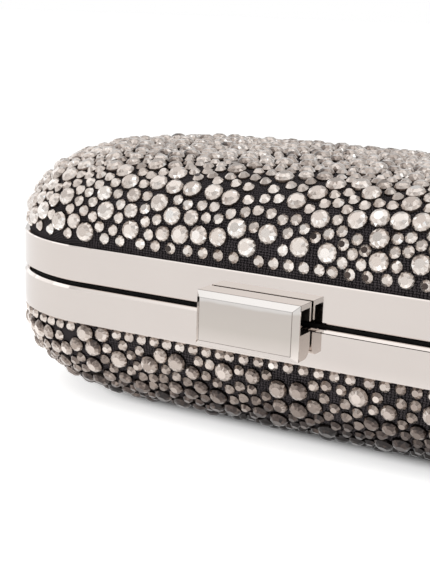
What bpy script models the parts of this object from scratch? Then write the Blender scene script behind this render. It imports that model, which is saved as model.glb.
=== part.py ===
"""Hard-shelled clutch bag: two pillow-shaped halves on a polished frame, with rear hinges and a lever clasp.

Metres, +Z up. The bag lies on the flat of its lower shell, the clasp faces -Y and the hinges are at +Y.
The origin is the middle of the flat that the bag rests on.
"""

import math
import random

import bmesh
import bpy
from mathutils import Matrix, Vector

# The clearance that pieces keep where they meet, and the reach of every cut past the wall it opens
SEAT_GAP = 0.0003
OVERRUN = 0.004

# The frame, seen from above a rounded rectangle, and seen from the side two bands with a gap between them
FRAME_LENGTH = 0.168
FRAME_DEPTH = 0.095
FRAME_CORNER = 0.035
BAND_HEIGHT = 0.009
BAND_GAP = 0.001
BAND_GAP_CHAMFER = 0.0008
BAND_OUTER_CHAMFER = 0.00025
BAND_CORNER_STEPS = 14

# The two crowned halves: height from the frame to the flat of the crown, and the walls from outside in
CROWN_HEIGHT = 0.022
COVER_THICKNESS = 0.0013
SHELL_THICKNESS = 0.0014
LINING_THICKNESS = 0.0007
RIM_HEIGHT = 0.0004
ROLL_SHARE = 0.7
ROLL_FULLNESS = 3.7
ROLL_SHOULDER = 2.09
ROUND_END_SHARE = 0.96
CROWN_STEPS = 7
CROWN_CORNER_STEPS = 8

# The larger crystals, cut stones that stand proud of the cover's close field of small ones. They are set in
# rows round each half, and drift a little from their rows as hand-set stones do
STONE_GIRDLE_RADIUS = 0.0026
STONE_TABLE_RADIUS = 0.0014
STONE_RISE = 0.00045
STONE_SINK = 0.0006
STONE_PITCH = 0.0165
STONE_FLAT_SHARE = 0.84
STONE_ROW_SHARES = (0.11, 0.36, 0.575, 0.775, 0.96)
STONE_DRIFT_SHARE = 0.25
STONE_ROW_DRIFT_SHARE = 0.03
STONE_SIDES = 6
STONE_SCATTER = 7

# The strip that stands in the lower band and reaches up into the upper one, to keep the halves in line
LIP_THICKNESS = 0.0008
LIP_CLEARANCE = 0.0004
LIP_DEPTH = 0.0027
LIP_RISE = 0.0024
LIP_HEADROOM = 0.0006
LIP_LEAD_SHARE = 0.4
LINING_DROP = 0.0005

# Rivets
RIVET_SHANK = 0.0008
RIVET_HEAD = 0.0014
RIVET_HEAD_HEIGHT = 0.0005
RIVET_DOME_SHARE = 0.6
RIVET_STEPS = 12

# The clasp's pin, the bracket that holds it and the spring round it
PIN_RADIUS = 0.00075
PIN_ROOM = 0.00085
PIN_SEAT = 0.0011
PIN_CLEARANCE = 0.00018
BASE_PLATE = 0.0009
BASE_EAR = 0.0013
BASE_EAR_RADIUS = 0.0015
BASE_EAR_ROUND_SHARE = 0.96
BASE_MARGIN = 0.0009
BASE_RIVET_SHARE = 0.6
SPRING_WIRE = 0.00022
SPRING_PLAY = 0.00028
SPRING_TURN_GAP = 0.00016
SPRING_TURNS = 5
SPRING_TURN_POINTS = 9

# The catch on the upper band
CATCH_WIDTH = 0.018
CATCH_THICKNESS = 0.0006
CATCH_RISE = 0.0006
CATCH_HEIGHT = 0.0021
CATCH_EDGE = 0.0002
CATCH_SPIGOT_RADIUS = 0.0008
CATCH_SPIGOT_SHARE = 0.67

# The clasp's lever, whose roof closes over the catch
LEVER_WIDTH = 0.0255
LEVER_RISE = 0.0025
LEVER_SWING_GAP = 0.0004
LEVER_CATCH_GAP = 0.0004
LEVER_CHAMFER = 0.00135
LEVER_PLATE = 0.0015
LEVER_ROOF = 0.0012
LEVER_NIB = 0.0008
LEVER_NIB_DROP = 0.0007
LEVER_CHEEK = 0.0019
LEVER_CHEEK_HEIGHT = 0.0053
LEVER_CHEEK_GAP = 0.0005
LEVER_HEEL_RADIUS = 0.0025
HEEL_STEPS = 6

# The hinges behind, each with five knuckles
HINGE_WIDTH = 0.024
HINGE_PLACE_SHARE = 0.67
HINGE_PLATE = 0.0009
HINGE_HEIGHT = 0.0078
HINGE_RADIUS = 0.0016
HINGE_ROOT_SHARE = 0.2
HINGE_KNUCKLES = 5
HINGE_PIN_RADIUS = 0.0008
HINGE_PIN_END = 0.0006
HINGE_PIN_EDGE = 0.0002
HINGE_RIVET_SHARE = 0.58
HINGE_STEPS = 20

# Walls, heights and faces that several pieces share
SHELL_INSET = COVER_THICKNESS + SEAT_GAP
LINING_INSET = SHELL_INSET + SHELL_THICKNESS + SEAT_GAP
BAND_THICKNESS = SHELL_INSET - LIP_CLEARANCE
LOWER_BAND_BASE = CROWN_HEIGHT
LOWER_BAND_TOP = LOWER_BAND_BASE + BAND_HEIGHT
UPPER_BAND_BASE = LOWER_BAND_TOP + BAND_GAP
UPPER_BAND_TOP = UPPER_BAND_BASE + BAND_HEIGHT
FRONT_FACE = -FRAME_DEPTH / 2
BACK_FACE = FRAME_DEPTH / 2
HINGE_AXIS_Y = BACK_FACE + SEAT_GAP + HINGE_RADIUS
HINGE_AXIS_Z = LOWER_BAND_TOP + BAND_GAP / 2
BASE_FRONT = FRONT_FACE - SEAT_GAP - BASE_PLATE
BASE_RIVET_SEAT = BASE_FRONT - SEAT_GAP
CLASP_AXIS_Y = BASE_RIVET_SEAT - RIVET_HEAD_HEIGHT - PIN_ROOM - PIN_RADIUS
CLASP_AXIS_Z = LOWER_BAND_BASE + LEVER_RISE + BASE_MARGIN + BASE_EAR_RADIUS
CATCH_FRONT = FRONT_FACE - SEAT_GAP - CATCH_THICKNESS
CATCH_BASE = UPPER_BAND_BASE + CATCH_RISE
CATCH_MIDDLE = CATCH_BASE + CATCH_HEIGHT / 2
LEVER_INSIDE = LEVER_WIDTH / 2 - LEVER_CHEEK
BASE_HALF_WIDTH = LEVER_INSIDE - SEAT_GAP


def clear_scene():
    for old in list(bpy.data.objects):
        bpy.data.objects.remove(old, do_unlink=True)


def new_collection(name, hidden):
    collection = bpy.data.collections.new(name)
    bpy.context.scene.collection.children.link(collection)
    collection.hide_render = hidden
    return collection


clear_scene()
PARTS = new_collection("clutch_bag", hidden=False)
CUTTERS = new_collection("cutters", hidden=True)


def finish(name, colour, metallic, roughness):
    """A material with one colour, metallic value and roughness."""
    material = bpy.data.materials.new(name)
    material.use_nodes = True
    shader = material.node_tree.nodes["Principled BSDF"]
    shader.inputs["Base Color"].default_value = (*colour, 1.0)
    shader.inputs["Metallic"].default_value = metallic
    shader.inputs["Roughness"].default_value = roughness
    return material


def polished(name):
    return finish(name + "_nickel", (0.72, 0.69, 0.66), 1.0, 0.12)


def steel(name):
    return finish(name + "_steel", (0.55, 0.55, 0.56), 1.0, 0.3)


def black_metal(name):
    return finish(name + "_blackened", (0.02, 0.02, 0.02), 0.6, 0.5)


def crystal_cloth(name):
    return finish(name + "_crystal_cloth", (0.3, 0.27, 0.26), 0.1, 0.35)


def board(name):
    return finish(name + "_board", (0.12, 0.1, 0.09), 0.0, 0.8)


def satin(name):
    return finish(name + "_satin", (0.03, 0.03, 0.035), 0.0, 0.45)


def add_part(name, mesh, material):
    part = bpy.data.objects.new(name, mesh)
    part.data.materials.append(material)
    PARTS.objects.link(part)
    return part


def add_cutter(name, mesh):
    cutter = bpy.data.objects.new(name, mesh)
    cutter.hide_render = True
    cutter.display_type = "WIRE"
    CUTTERS.objects.link(cutter)
    return cutter


def combine(part, other, operation):
    modifier = part.modifiers.new(other.name, "BOOLEAN")
    modifier.operation = operation
    modifier.solver = "EXACT"
    modifier.object = other


def cut(part, cutter):
    combine(part, cutter, "DIFFERENCE")


def join(part, other):
    combine(part, other, "UNION")


def mesh_from(name, bm):
    mesh = bpy.data.meshes.new(name)
    bmesh.ops.recalc_face_normals(bm, faces=bm.faces)
    bm.to_mesh(mesh)
    bm.free()
    return mesh


def add_box_to(bm, low, high):
    """Adds the box between two corners."""
    low, high = Vector(low), Vector(high)
    middle, size = (low + high) / 2, high - low
    bmesh.ops.create_cube(bm, size=1.0, matrix=Matrix.Translation(middle) @ Matrix.Diagonal((*size, 1.0)))


def box_mesh(name, boxes):
    bm = bmesh.new()
    for low, high in boxes:
        add_box_to(bm, low, high)
    return mesh_from(name, bm)


def cylinder_mesh(name, centres, radius, length, axis, steps):
    """Cylinders of one size, each centred on a point, along X or Y."""
    turn = {"X": Matrix.Rotation(math.pi / 2, 4, "Y"), "Y": Matrix.Rotation(math.pi / 2, 4, "X")}[axis]
    bm = bmesh.new()
    for centre in centres:
        bmesh.ops.create_cone(
            bm,
            cap_ends=True,
            segments=steps,
            radius1=radius,
            radius2=radius,
            depth=length,
            matrix=Matrix.Translation(centre) @ turn,
        )
    return mesh_from(name, bm)


def bevel_edges(bm, chosen, width, steps):
    """A chamfer with one step and a round with more, on the edges that the test chooses."""
    edges = [edge for edge in bm.edges if chosen(edge)]
    bmesh.ops.bevel(bm, geom=edges, offset=width, segments=steps, affect="EDGES", profile=0.5)


def shade(part, angle_deg):
    """Smooth shading on the curved faces, sharp where two faces meet at more than the angle."""
    part.data.shade_smooth()
    part.data.set_sharp_from_angle(angle=math.radians(angle_deg))


def outline(inset, travel, corner_steps):
    """The frame's rounded rectangle moved in by a wall's inset and by the crown's travel, anticlockwise."""
    half_length = FRAME_LENGTH / 2 - inset - travel
    half_depth = FRAME_DEPTH / 2 - inset - travel
    radius = min(FRAME_CORNER - inset, ROUND_END_SHARE * half_depth)
    points = []
    for quarter, (side_x, side_y) in enumerate(((1, 1), (-1, 1), (-1, -1), (1, -1))):
        centre_x = side_x * (half_length - radius)
        centre_y = side_y * (half_depth - radius)
        for step in range(corner_steps + 1):
            angle = math.pi / 2 * (quarter + step / corner_steps)
            points.append((centre_x + radius * math.cos(angle), centre_y + radius * math.sin(angle)))
    return points


def dome_rings(inset, skirt):
    """Rings of one wall of a crowned half, with the cover's rim at z = 0 and any skirt below it."""
    height = CROWN_HEIGHT - SEAT_GAP - inset
    half_depth = FRAME_DEPTH / 2 - inset
    levels = [(0.0, 0.0), (0.0, RIM_HEIGHT)]
    if skirt > 0.0:
        levels.insert(0, (0.0, -skirt))
    for step in range(1, CROWN_STEPS + 1):
        across = (step / CROWN_STEPS) ** 2
        up = (1 - (1 - across) ** ROLL_FULLNESS) ** (1 / ROLL_SHOULDER)
        levels.append((across * ROLL_SHARE * half_depth, RIM_HEIGHT + (height - RIM_HEIGHT) * up))
    rings = []
    for travel, z in levels:
        rings.append([Vector((x, y, z)) for x, y in outline(inset, travel, CROWN_CORNER_STEPS)])
    return rings


def dome_mesh(name, inset, skirt):
    """An open crowned surface: quads between its rings, and its crown filled flat."""
    bm = bmesh.new()
    rows = [[bm.verts.new(point) for point in ring] for ring in dome_rings(inset, skirt)]
    for below, above in zip(rows, rows[1:]):
        for here in range(len(below)):
            after = (here + 1) % len(below)
            bm.faces.new((below[here], below[after], above[after], above[here]))
    bm.faces.new(rows[-1])
    mesh = bpy.data.meshes.new(name)
    bm.to_mesh(mesh)
    bm.free()
    return mesh


def add_dome(name, inset, skirt, thickness, upper, material):
    """One layer of a half. The lower half is the same form turned over."""
    part = add_part(name, dome_mesh(name, inset, skirt), material)
    part.location.z = UPPER_BAND_TOP + SEAT_GAP if upper else LOWER_BAND_BASE - SEAT_GAP
    part.rotation_euler.x = 0.0 if upper else math.pi
    wall = part.modifiers.new("wall", "SOLIDIFY")
    wall.thickness = thickness
    wall.offset = -1.0
    wall.use_even_offset = True
    shade(part, 40.0)
    return part


def stone_seats():
    """Where the larger crystals stand on a cover, in its own axes, and the way that each one faces."""
    rings = dome_rings(0.0, 0.0)
    flat = rings[-1][0].z
    flat_travel = STONE_FLAT_SHARE * FRAME_DEPTH / 2
    rings.append([Vector((x, y, flat)) for x, y in outline(0.0, flat_travel, CROWN_CORNER_STEPS)])
    scatter = random.Random(STONE_SCATTER)
    seats = []
    for row_share in STONE_ROW_SHARES:
        below = rings[1 + int(row_share * (len(rings) - 2))]
        steps = [(after - here).length for here, after in zip(below, below[1:] + below[:1])]
        count = round(sum(steps) / STONE_PITCH)
        for number in range(count):
            drift = scatter.uniform(-STONE_DRIFT_SHARE, STONE_DRIFT_SHARE)
            left = (number + drift) % count / count * sum(steps)
            here = 0
            while left > steps[here]:
                left -= steps[here]
                here += 1
            row_drift = scatter.uniform(-STONE_ROW_DRIFT_SHARE, STONE_ROW_DRIFT_SHARE)
            seats.append(seat_on_rings(rings, row_share + row_drift, here, left / steps[here]))
    return seats


def seat_on_rings(rings, height_share, here, share):
    """The point part of the way up the rings and part of the way between two corners, and its normal."""
    level = 1 + height_share * (len(rings) - 2)
    ring = int(level)
    after = (here + 1) % len(rings[0])
    left_low, right_low = rings[ring][here], rings[ring][after]
    left_high, right_high = rings[ring + 1][here], rings[ring + 1][after]
    low = left_low.lerp(right_low, share)
    high = left_high.lerp(right_high, share)
    along = (right_low - left_low).lerp(right_high - left_high, level - ring)
    return low.lerp(high, level - ring), along.cross(high - low).normalized()


def set_stones(cover, clear_of_rest):
    """Fuses the larger crystals with a cover. Any that would stand below the bag's resting flat are left out."""
    bm = bmesh.new()
    flat = CROWN_HEIGHT - SEAT_GAP
    for place, facing in stone_seats():
        tilt = math.sqrt(1.0 - min(1.0, facing.z) ** 2)
        top = place.z + STONE_RISE * facing.z + STONE_TABLE_RADIUS * tilt
        if clear_of_rest and top > flat:
            continue
        middle = place + facing * (STONE_RISE - STONE_SINK) / 2
        bmesh.ops.create_cone(
            bm,
            cap_ends=True,
            segments=STONE_SIDES,
            radius1=STONE_GIRDLE_RADIUS,
            radius2=STONE_TABLE_RADIUS,
            depth=STONE_RISE + STONE_SINK,
            matrix=Matrix.Translation(middle) @ facing.to_track_quat("Z", "Y").to_matrix().to_4x4(),
        )
    stones = add_cutter(cover.name + "_stones", mesh_from(cover.name + "_stones", bm))
    stones.location = cover.location
    stones.rotation_euler = cover.rotation_euler
    join(cover, stones)


def swept_band(name, profile, material):
    """A closed strip: a profile of (inset, height) points carried round the frame's outline."""
    section = bpy.data.curves.new(name + "_section", "CURVE")
    section.dimensions = "2D"
    section.fill_mode = "NONE"
    corners = section.splines.new("POLY")
    corners.points.add(len(profile) - 1)
    for point, (inset, height) in zip(corners.points, profile):
        point.co = (inset, height, 0.0, 1.0)
    corners.use_cyclic_u = True
    section_guide = bpy.data.objects.new(name + "_section", section)
    PARTS.objects.link(section_guide)

    path = bpy.data.curves.new(name + "_path", "CURVE")
    path.dimensions = "2D"
    path.fill_mode = "NONE"
    path.bevel_mode = "OBJECT"
    path.bevel_object = section_guide
    route = path.splines.new("POLY")
    points = outline(0.0, 0.0, BAND_CORNER_STEPS)
    route.points.add(len(points) - 1)
    for point, (x, y) in zip(route.points, points):
        point.co = (x, y, 0.0, 1.0)
    route.use_cyclic_u = True
    path_guide = bpy.data.objects.new(name + "_path", path)
    PARTS.objects.link(path_guide)

    bpy.context.view_layer.update()
    evaluated = path_guide.evaluated_get(bpy.context.evaluated_depsgraph_get())
    swept = bpy.data.meshes.new_from_object(evaluated)
    bm = bmesh.new()
    bm.from_mesh(swept)
    bmesh.ops.remove_doubles(bm, verts=bm.verts, dist=SEAT_GAP / 100)
    mesh = mesh_from(name, bm)
    bpy.data.objects.remove(path_guide, do_unlink=True)
    bpy.data.objects.remove(section_guide, do_unlink=True)
    bpy.data.meshes.remove(swept)
    part = add_part(name, mesh, material)
    shade(part, 30.0)
    return part


def rivet_mesh(name, shank_length):
    """Half of a domed rivet's section, to be turned about Z: the head above z = 0, the shank below."""
    points = [
        (0.0, RIVET_HEAD_HEIGHT),
        (RIVET_HEAD * RIVET_DOME_SHARE, RIVET_HEAD_HEIGHT),
        (RIVET_HEAD, RIVET_HEAD_HEIGHT * (1 - RIVET_DOME_SHARE)),
        (RIVET_HEAD, 0.0),
        (RIVET_SHANK, 0.0),
        (RIVET_SHANK, -shank_length),
        (0.0, -shank_length),
    ]
    mesh = bpy.data.meshes.new(name)
    edges = [(here, here + 1) for here in range(len(points) - 1)]
    mesh.from_pydata([(x, 0.0, z) for x, z in points], edges, [])
    return mesh


def add_rivet(name, mesh, place, facing_front):
    rivet = add_part(name, mesh.copy(), steel(name))
    rivet.location = place
    rivet.rotation_euler.x = math.pi / 2 if facing_front else -math.pi / 2
    turn = rivet.modifiers.new("turn", "SCREW")
    turn.steps = RIVET_STEPS
    turn.render_steps = RIVET_STEPS
    turn.use_merge_vertices = True
    turn.merge_threshold = SEAT_GAP / 10
    return rivet


def band_profile(edge_at_gap, edge_at_cover):
    """The band's section, with its wide chamfer at the gap and its fine one at the cover."""
    towards_cover = 1 if edge_at_cover > edge_at_gap else -1
    return [
        (0.0, edge_at_gap + towards_cover * BAND_GAP_CHAMFER),
        (0.0, edge_at_cover - towards_cover * BAND_OUTER_CHAMFER),
        (BAND_OUTER_CHAMFER, edge_at_cover),
        (BAND_THICKNESS, edge_at_cover),
        (BAND_THICKNESS, edge_at_gap),
        (BAND_GAP_CHAMFER, edge_at_gap),
    ]


def add_halves():
    """The cloth covers, the moulded boards and the linings of both halves."""
    lower_skirt = BAND_HEIGHT - LIP_DEPTH
    upper_skirt = SEAT_GAP + BAND_HEIGHT - LIP_RISE - LIP_HEADROOM
    lining_skirt = SEAT_GAP + BAND_HEIGHT - LINING_DROP
    for half, upper, shell_skirt, inner_skirt in (
        ("lower", False, lower_skirt, lining_skirt),
        ("upper", True, upper_skirt, upper_skirt),
    ):
        cover, shell, lining = half + "_cover", half + "_shell", half + "_lining"
        dome = add_dome(cover, 0.0, 0.0, COVER_THICKNESS, upper, crystal_cloth(cover))
        set_stones(dome, clear_of_rest=not upper)
        add_dome(shell, SHELL_INSET, shell_skirt, SHELL_THICKNESS, upper, board(shell))
        add_dome(lining, LINING_INSET, inner_skirt, LINING_THICKNESS, upper, satin(lining))


def add_frame():
    """The two polished bands, drilled for what is riveted to them, and the blackened strip between them."""
    lower = swept_band("lower_band", band_profile(LOWER_BAND_TOP, LOWER_BAND_BASE), polished("lower_band"))
    upper = swept_band("upper_band", band_profile(UPPER_BAND_BASE, UPPER_BAND_TOP), polished("upper_band"))

    inner = SHELL_INSET + LIP_THICKNESS
    lead = LIP_THICKNESS * LIP_LEAD_SHARE
    base = LOWER_BAND_TOP - LIP_DEPTH
    top = UPPER_BAND_BASE + LIP_RISE
    strip = [
        (SHELL_INSET, base),
        (inner, base),
        (inner, top),
        (SHELL_INSET + lead, top),
        (SHELL_INSET, top - lead),
    ]
    swept_band("locating_lip", strip, black_metal("locating_lip"))

    through = BAND_THICKNESS + OVERRUN
    lower_holes = [(x, FRONT_FACE, CLASP_AXIS_Z) for x in base_rivet_places()]
    lower_holes += [(x, BACK_FACE, hinge_rivet_height(-1)) for x in hinge_rivet_places()]
    cut_rivet_holes(lower, lower_holes, through)
    upper_holes = [(x, FRONT_FACE, CATCH_MIDDLE) for x in catch_spigot_places()]
    upper_holes += [(x, BACK_FACE, hinge_rivet_height(1)) for x in hinge_rivet_places()]
    cut_rivet_holes(upper, upper_holes, through)


def both_sides(distance):
    return (-distance, distance)


def base_rivet_places():
    return both_sides((BASE_HALF_WIDTH - BASE_EAR) * BASE_RIVET_SHARE)


def catch_spigot_places():
    return both_sides(CATCH_WIDTH / 2 * CATCH_SPIGOT_SHARE)


def hinge_middles():
    """The hinges sit on the straight run of the back, one towards each corner."""
    return both_sides((FRAME_LENGTH / 2 - FRAME_CORNER) * HINGE_PLACE_SHARE)


def hinge_tip(side):
    """Height of a leaf's free edge: side is -1 for the lower leaf and 1 for the upper."""
    return HINGE_AXIS_Z + side * (BAND_GAP / 2 + HINGE_HEIGHT)


def hinge_rivet_height(side):
    """Rivets lie midway between the knuckles and the leaf's free edge."""
    return (HINGE_AXIS_Z + side * HINGE_RADIUS + hinge_tip(side)) / 2


def leaf_rivet_places(middle_x):
    return [middle_x + x for x in both_sides(HINGE_WIDTH / 2 * HINGE_RIVET_SHARE)]


def hinge_rivet_places():
    return [x for middle_x in hinge_middles() for x in leaf_rivet_places(middle_x)]


def add_lever():
    """The clasp's front plate, roof and cheeks, hollow behind, with blind seats for the pin."""
    plate_back = CLASP_AXIS_Y - BASE_EAR_RADIUS - LEVER_SWING_GAP
    front = plate_back - LEVER_PLATE
    back = FRONT_FACE - LEVER_CHEEK_GAP
    low = LOWER_BAND_BASE + LEVER_RISE
    nib_under = CATCH_BASE + CATCH_HEIGHT + LEVER_CATCH_GAP
    roof_under = nib_under + LEVER_NIB_DROP
    high = roof_under + LEVER_ROOF
    half_width = LEVER_WIDTH / 2
    middle_y, middle_z = (front + back) / 2, (low + high) / 2
    bm = bmesh.new()
    add_box_to(bm, (-half_width, front, low), (half_width, back, high))
    bevel_edges(bm, lambda edge: all(v.co.y > middle_y and v.co.z < middle_z for v in edge.verts),
                LEVER_HEEL_RADIUS, HEEL_STEPS)
    bevel_edges(bm, lambda edge: all(v.co.y < middle_y for v in edge.verts), LEVER_CHAMFER, 1)
    lever = add_part("clasp_lever", mesh_from("clasp_lever", bm), polished("clasp_lever"))
    shade(lever, 30.0)

    past_side = half_width + OVERRUN
    cheek_top = low + LEVER_CHEEK_HEIGHT
    roof_back = CATCH_FRONT - SEAT_GAP
    nib_front = roof_back - LEVER_NIB
    behind = back + OVERRUN
    cuts = {
        "lever_hollow": ((-LEVER_INSIDE, plate_back, low - OVERRUN), (LEVER_INSIDE, behind, nib_under)),
        "lever_window": ((-past_side, plate_back, cheek_top), (past_side, behind, nib_under)),
        "lever_under_roof": ((-past_side, plate_back, cheek_top), (past_side, nib_front, roof_under)),
        "lever_roof_end": ((-past_side, roof_back, cheek_top), (past_side, behind, high + OVERRUN)),
    }
    for name, corners in cuts.items():
        cut(lever, add_cutter(name, box_mesh(name, [corners])))
    seat_length = 2 * (LEVER_INSIDE + PIN_SEAT + PIN_CLEARANCE)
    cut_pin_bore(lever, seat_length, 0.0, CLASP_AXIS_Y, CLASP_AXIS_Z, PIN_RADIUS)
    on_axis(lever, (0.0, CLASP_AXIS_Y, CLASP_AXIS_Z))


def cut_pin_bore(part, length, x, y, z, pin_radius):
    """A hole along X, with the pin's running clearance."""
    name = part.name + "_bore"
    bore = cylinder_mesh(name, [(x, y, z)], pin_radius + PIN_CLEARANCE, length, "X", HINGE_STEPS)
    cut(part, add_cutter(name, bore))


def cut_rivet_holes(part, places, length):
    """Holes along Y, with room round the rivets' shanks."""
    name = part.name + "_rivet_holes"
    holes = cylinder_mesh(name, places, RIVET_SHANK + SEAT_GAP, length, "Y", RIVET_STEPS)
    cut(part, add_cutter(name, holes))


def on_axis(part, axis_point):
    """Moves a part's origin to a point of the axis that it turns on, with its faces where they were."""
    shift = Vector(axis_point)
    part.data.transform(Matrix.Translation(-shift))
    part.location = shift


def add_clasp_base():
    """The bracket behind the lever: a plate on the lower band, two ears round the pin, and its rivets."""
    inner = BASE_HALF_WIDTH - BASE_EAR
    back = FRONT_FACE - SEAT_GAP
    ear_front = CLASP_AXIS_Y - BASE_EAR_RADIUS
    ear_low, ear_high = CLASP_AXIS_Z - BASE_EAR_RADIUS, CLASP_AXIS_Z + BASE_EAR_RADIUS
    plate_corners = (
        (-BASE_HALF_WIDTH, BASE_FRONT, ear_low - BASE_MARGIN),
        (BASE_HALF_WIDTH, back, ear_high + BASE_MARGIN),
    )
    base = add_part("clasp_base", box_mesh("clasp_base", [plate_corners]), steel("clasp_base"))
    for side, x_low, x_high in (("left", -BASE_HALF_WIDTH, -inner), ("right", inner, BASE_HALF_WIDTH)):
        bm = bmesh.new()
        add_box_to(bm, (x_low, ear_front, ear_low), (x_high, BASE_FRONT + BASE_PLATE / 2, ear_high))
        bevel_edges(bm, lambda edge: all(v.co.y < CLASP_AXIS_Y for v in edge.verts)
                    and abs(edge.verts[0].co.x - edge.verts[1].co.x) > BASE_EAR / 2,
                    BASE_EAR_RADIUS * BASE_EAR_ROUND_SHARE, HEEL_STEPS)
        name = "base_ear_" + side
        join(base, add_cutter(name, mesh_from(name, bm)))
    cut_pin_bore(base, 2 * BASE_HALF_WIDTH + OVERRUN, 0.0, CLASP_AXIS_Y, CLASP_AXIS_Z, PIN_RADIUS)
    places = [(x, BASE_FRONT, CLASP_AXIS_Z) for x in base_rivet_places()]
    cut_rivet_holes(base, places, BASE_PLATE + OVERRUN)

    shank = SEAT_GAP + BASE_PLATE + SEAT_GAP + BAND_THICKNESS * RIVET_DOME_SHARE
    mesh = rivet_mesh("clasp_rivet", shank)
    for side, x in zip(("left", "right"), base_rivet_places()):
        add_rivet("clasp_rivet_" + side, mesh, (x, BASE_RIVET_SEAT, CLASP_AXIS_Z), facing_front=True)


def add_clasp_pin():
    length = 2 * (LEVER_INSIDE + PIN_SEAT)
    mesh = cylinder_mesh("clasp_pin", [(0.0, 0.0, 0.0)], PIN_RADIUS, length, "X", HINGE_STEPS)
    pin = add_part("clasp_pin", mesh, steel("clasp_pin"))
    pin.location = (0.0, CLASP_AXIS_Y, CLASP_AXIS_Z)
    shade(pin, 40.0)


def add_clasp_spring():
    """A coil round the pin, with one leg towards the lever's plate and one towards the bracket."""
    pitch = 2 * SPRING_WIRE + SPRING_TURN_GAP
    radius = PIN_RADIUS + SPRING_PLAY + SPRING_WIRE
    half_coil = SPRING_TURNS * pitch / 2
    coil = []
    for step in range(SPRING_TURNS * SPRING_TURN_POINTS + 1):
        turn = step / SPRING_TURN_POINTS
        angle = math.pi / 2 - math.tau * turn
        coil.append((pitch * turn - half_coil, radius * math.cos(angle), radius * math.sin(angle)))
    room_in_front = BASE_EAR_RADIUS + LEVER_SWING_GAP - SEAT_GAP - SPRING_WIRE
    room_behind = BASE_FRONT - CLASP_AXIS_Y - SEAT_GAP - SPRING_WIRE
    points = [(-half_coil, -room_in_front, radius), *coil, (half_coil, room_behind, radius)]
    curve = bpy.data.curves.new("clasp_spring", "CURVE")
    curve.dimensions = "3D"
    curve.bevel_depth = SPRING_WIRE
    curve.bevel_resolution = 1
    curve.use_fill_caps = True
    wire = curve.splines.new("POLY")
    wire.points.add(len(points) - 1)
    for point, place in zip(wire.points, points):
        point.co = (*place, 1.0)
    spring = add_part("clasp_spring", curve, steel("clasp_spring"))
    spring.location = (0.0, CLASP_AXIS_Y, CLASP_AXIS_Z)


def add_clasp_catch():
    """A plate on the upper band with two spigots peened into the band's holes."""
    back = FRONT_FACE - SEAT_GAP
    top = CATCH_BASE + CATCH_HEIGHT
    middle_y = (CATCH_FRONT + back) / 2
    bm = bmesh.new()
    add_box_to(bm, (-CATCH_WIDTH / 2, CATCH_FRONT, CATCH_BASE), (CATCH_WIDTH / 2, back, top))
    bevel_edges(bm, lambda edge: all(v.co.y < middle_y for v in edge.verts), CATCH_EDGE, 2)
    catch = add_part("clasp_catch", mesh_from("clasp_catch", bm), polished("clasp_catch"))
    spigot_end = FRONT_FACE + BAND_THICKNESS * RIVET_DOME_SHARE
    centres = [(x, (middle_y + spigot_end) / 2, CATCH_MIDDLE) for x in catch_spigot_places()]
    length = spigot_end - middle_y
    spigots = cylinder_mesh("catch_spigots", centres, CATCH_SPIGOT_RADIUS, length, "Y", RIVET_STEPS)
    join(catch, add_cutter("catch_spigots", spigots))


def hinge_leaf(name, middle_x, side, own_knuckles):
    """One leaf: side is -1 for the lower leaf and 1 for the upper. Its plate lies against its band."""
    slot = HINGE_WIDTH / HINGE_KNUCKLES
    start = middle_x - HINGE_WIDTH / 2
    front = BACK_FACE + SEAT_GAP
    back = front + HINGE_PLATE
    root = HINGE_AXIS_Z + side * HINGE_RADIUS * HINGE_ROOT_SHARE
    low, high = sorted((root, hinge_tip(side)))
    plate = box_mesh(name, [((start, front, low), (start + HINGE_WIDTH, back, high))])
    leaf = add_part(name, plate, steel(name))
    shade(leaf, 40.0)

    past_axis = HINGE_AXIS_Z - side * HINGE_RADIUS
    past_knuckles = HINGE_AXIS_Z + side * (HINGE_RADIUS + SEAT_GAP)
    notch_low, notch_high = sorted((past_axis, past_knuckles))
    notches = []
    for knuckle in range(HINGE_KNUCKLES):
        if knuckle in own_knuckles:
            continue
        left = start + knuckle * slot - (OVERRUN if knuckle == 0 else SEAT_GAP / 2)
        right = start + (knuckle + 1) * slot + (OVERRUN if knuckle == HINGE_KNUCKLES - 1 else SEAT_GAP / 2)
        notches.append(((left, front - OVERRUN, notch_low), (right, back + OVERRUN, notch_high)))
    cut(leaf, add_cutter(name + "_notches", box_mesh(name + "_notches", notches)))

    centres = [(start + (knuckle + 0.5) * slot, HINGE_AXIS_Y, HINGE_AXIS_Z) for knuckle in own_knuckles]
    knuckles = cylinder_mesh(name + "_knuckles", centres, HINGE_RADIUS, slot - SEAT_GAP, "X", HINGE_STEPS)
    join(leaf, add_cutter(name + "_knuckles", knuckles))
    cut_pin_bore(leaf, HINGE_WIDTH + OVERRUN, middle_x, HINGE_AXIS_Y, HINGE_AXIS_Z, HINGE_PIN_RADIUS)
    places = [(x, back, hinge_rivet_height(side)) for x in leaf_rivet_places(middle_x)]
    cut_rivet_holes(leaf, places, HINGE_PLATE + OVERRUN)
    on_axis(leaf, (middle_x, HINGE_AXIS_Y, HINGE_AXIS_Z))


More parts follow.
